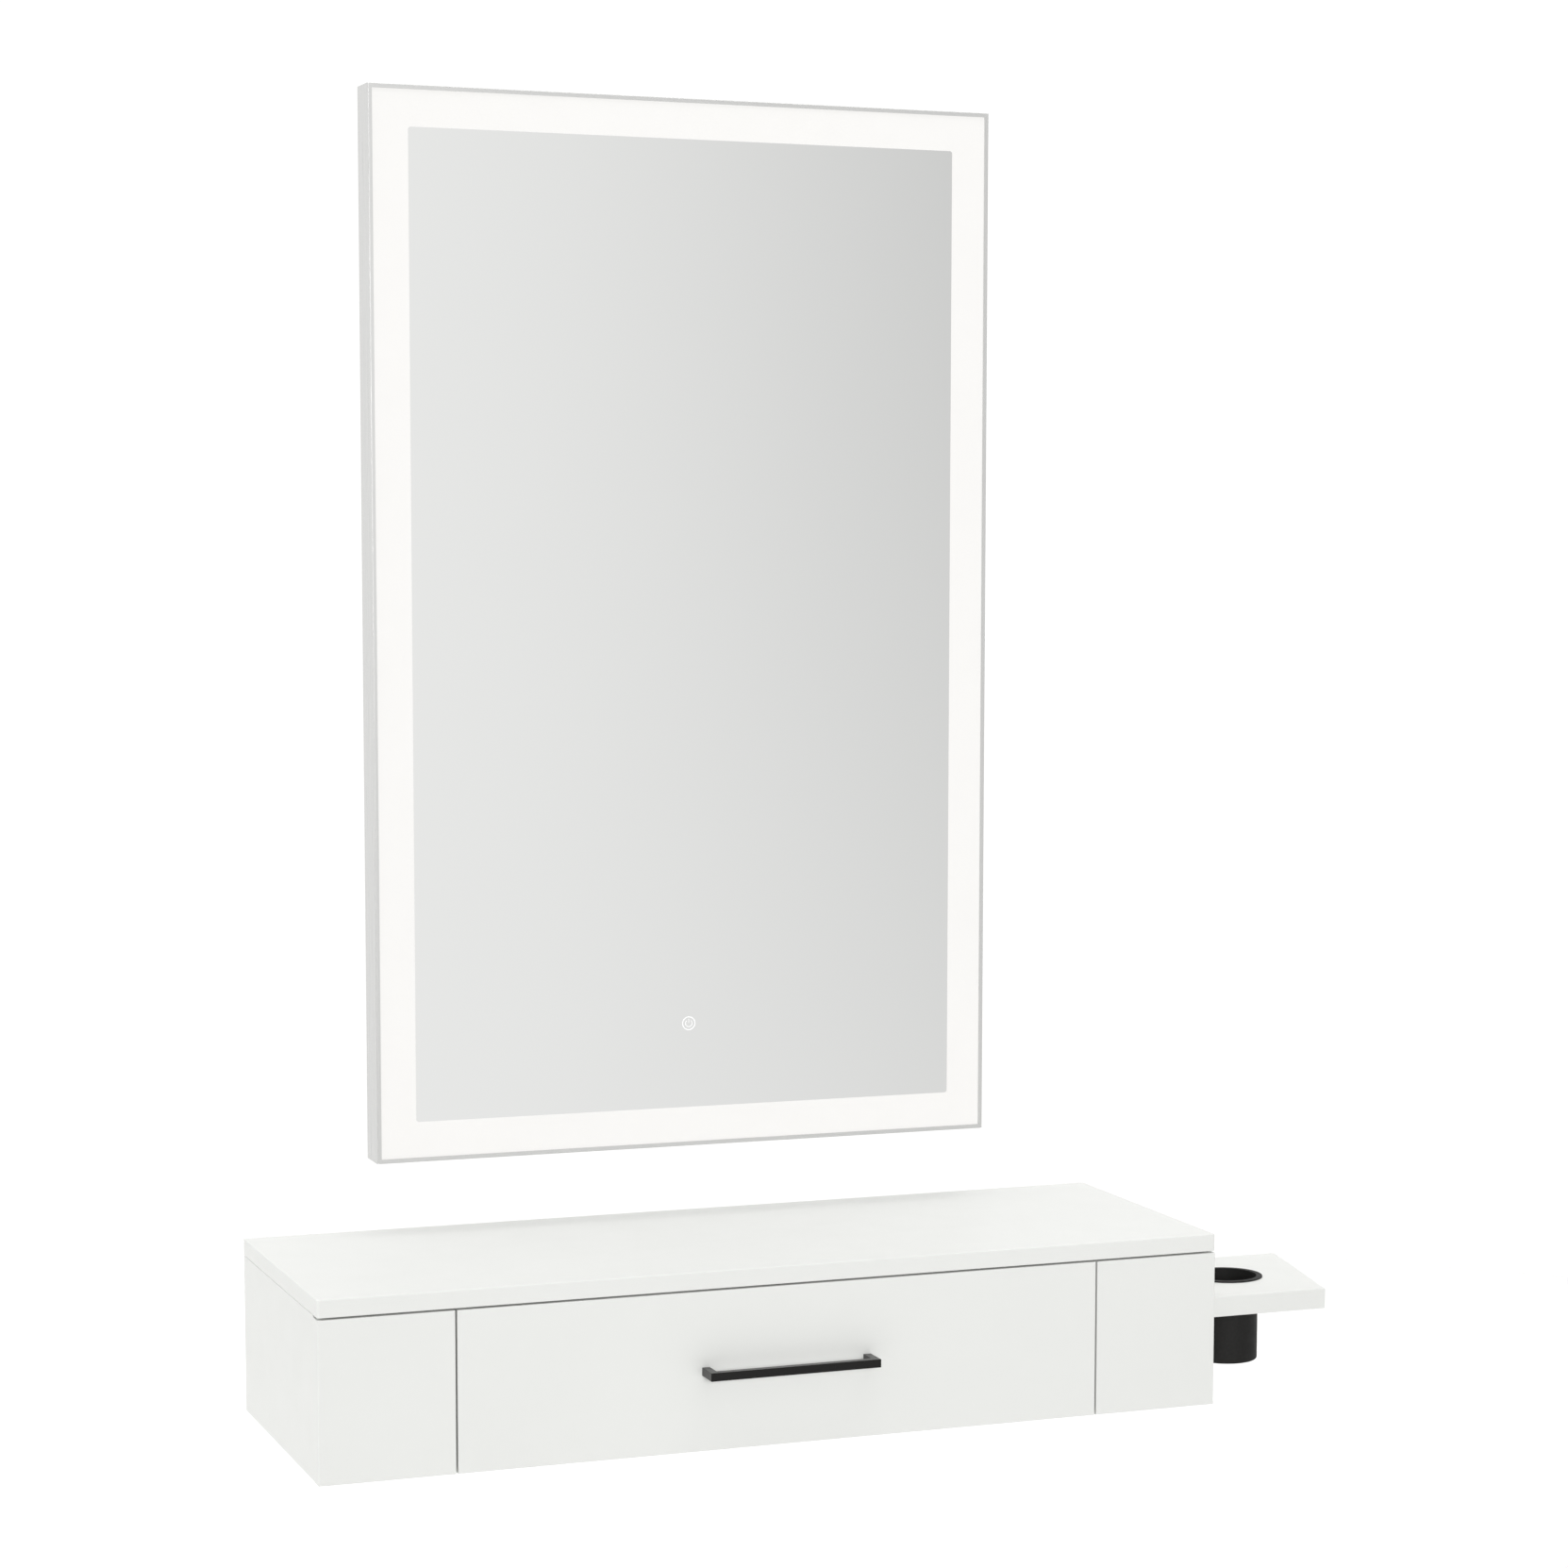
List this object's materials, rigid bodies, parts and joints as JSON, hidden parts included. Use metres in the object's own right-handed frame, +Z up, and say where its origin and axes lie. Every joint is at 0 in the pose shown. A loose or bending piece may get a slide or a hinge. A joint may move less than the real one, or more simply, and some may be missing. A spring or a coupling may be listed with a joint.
{
  "type": "salon styling station",
  "caption": "Wall-hung styling console with a bar-handled drawer on ball runners, a side shelf with a lift-out dryer cup, and a back-lit framed mirror that hangs above it on a cleat.",
  "frame": {"origin": "centre of the console's four wall-bolt holes, on the wall plane", "axes": "+Z up, the front faces -Y, +X to the right seen from the front, so the wall is the plane y = 0"},
  "size_m": [1.2145, 0.382, 1.4465],
  "materials": {
    "white_laminate": "satin white laminate on board",
    "drawer_board": "matt white melamine on board",
    "beech": "fluted beech",
    "black_powder": "fine satin black powder coat",
    "frame_aluminium": "satin silver anodised",
    "mirror_glass": "silvered glass with a frosted lit border",
    "opal_plastic": "opal diffuser",
    "led_board": "white solder mask",
    "led_phosphor": "phosphor under clear resin",
    "grey_sheet": "grey coated sheet",
    "driver_case": "white coated case",
    "black_plastic": "moulded black",
    "lead_rubber": "black insulation",
    "clear_rubber": "grey soft pad",
    "zinc_steel": "zinc plated",
    "runner_steel": "zinc plated rolled strip",
    "ball_steel": "polished"
  },
  "bodies": {
    "console": {"top_board": "white_laminate", "left_side_panel": "white_laminate", "right_side_panel": "white_laminate", "bottom_panel": "white_laminate", "back_panel": "white_laminate", "left_divider": "white_laminate", "right_divider": "white_laminate", "left_end_front": "white_laminate", "right_end_front": "white_laminate", "cam_locks": "zinc_steel", "cam_bolts": "zinc_steel", "wooden_dowels": "beech", "appliance_shelf": "white_laminate", "shelf_screws": "zinc_steel", "left_outer_runner": "runner_steel", "right_outer_runner": "runner_steel", "runner_screws": "zinc_steel", "mirror_wall_cleat": "zinc_steel"},
    "outer_cages": {"outer_ball_cages": "black_plastic", "outer_balls": "ball_steel"},
    "middle_runners": {"left_middle_runner": "runner_steel", "right_middle_runner": "runner_steel"},
    "inner_cages": {"inner_ball_cages": "black_plastic", "inner_balls": "ball_steel"},
    "drawer": {"drawer_front": "white_laminate", "drawer_subfront": "drawer_board", "drawer_left_side": "drawer_board", "drawer_right_side": "drawer_board", "drawer_back": "drawer_board", "drawer_bottom": "drawer_board", "bar_handle": "black_powder", "handle_screws": "zinc_steel", "front_screws": "zinc_steel", "drawer_box_screws": "zinc_steel", "left_inner_runner": "runner_steel", "right_inner_runner": "runner_steel", "slide_screws": "zinc_steel"},
    "cup": {"dryer_cup": "black_powder"},
    "mirror": {"mirror_frame_top": "frame_aluminium", "mirror_frame_bottom": "frame_aluminium", "mirror_frame_left": "frame_aluminium", "mirror_frame_right": "frame_aluminium", "corner_keys": "zinc_steel", "corner_key_screws": "zinc_steel", "mirror_glass": "mirror_glass", "light_diffuser": "opal_plastic", "led_strip_top": "led_board", "led_strip_bottom": "led_board", "led_strip_left": "led_board", "led_strip_right": "led_board", "led_chips": "led_phosphor", "backing_tray": "grey_sheet", "light_wall": "grey_sheet", "led_driver": "driver_case", "touch_sensor": "led_board", "internal_leads": "lead_rubber", "hanger_rail": "zinc_steel", "tray_screws": "zinc_steel", "cable_gland": "black_plastic", "wall_bumpers": "clear_rubber"}
  },
  "joints": [
    {"name": "drawer_slide", "type": "slide", "parent": "console", "child": "drawer", "axis": [0, -1, 0], "range_m": [0, 0.3]},
    {"name": "outer_cage_travel", "type": "slide", "parent": "console", "child": "outer_cages", "axis": [0, -1, 0], "range_m": [0, 0.075]},
    {"name": "middle_runner_travel", "type": "slide", "parent": "console", "child": "middle_runners", "axis": [0, -1, 0], "range_m": [0, 0.15]},
    {"name": "inner_cage_travel", "type": "slide", "parent": "console", "child": "inner_cages", "axis": [0, -1, 0], "range_m": [0, 0.225]},
    {"name": "cup_lift", "type": "slide", "parent": "console", "child": "cup", "axis": [0, 0, 1], "range_m": [0, 0.12]},
    {"name": "mirror_lift", "type": "slide", "parent": "console", "child": "mirror", "axis": [0, 0, 1], "range_m": [0, 0.016]}
  ],
  "couplings": [
    {"joint": "outer_cage_travel", "follows": "drawer_slide", "ratio": 0.25},
    {"joint": "middle_runner_travel", "follows": "drawer_slide", "ratio": 0.5},
    {"joint": "inner_cage_travel", "follows": "drawer_slide", "ratio": 0.75}
  ]
}
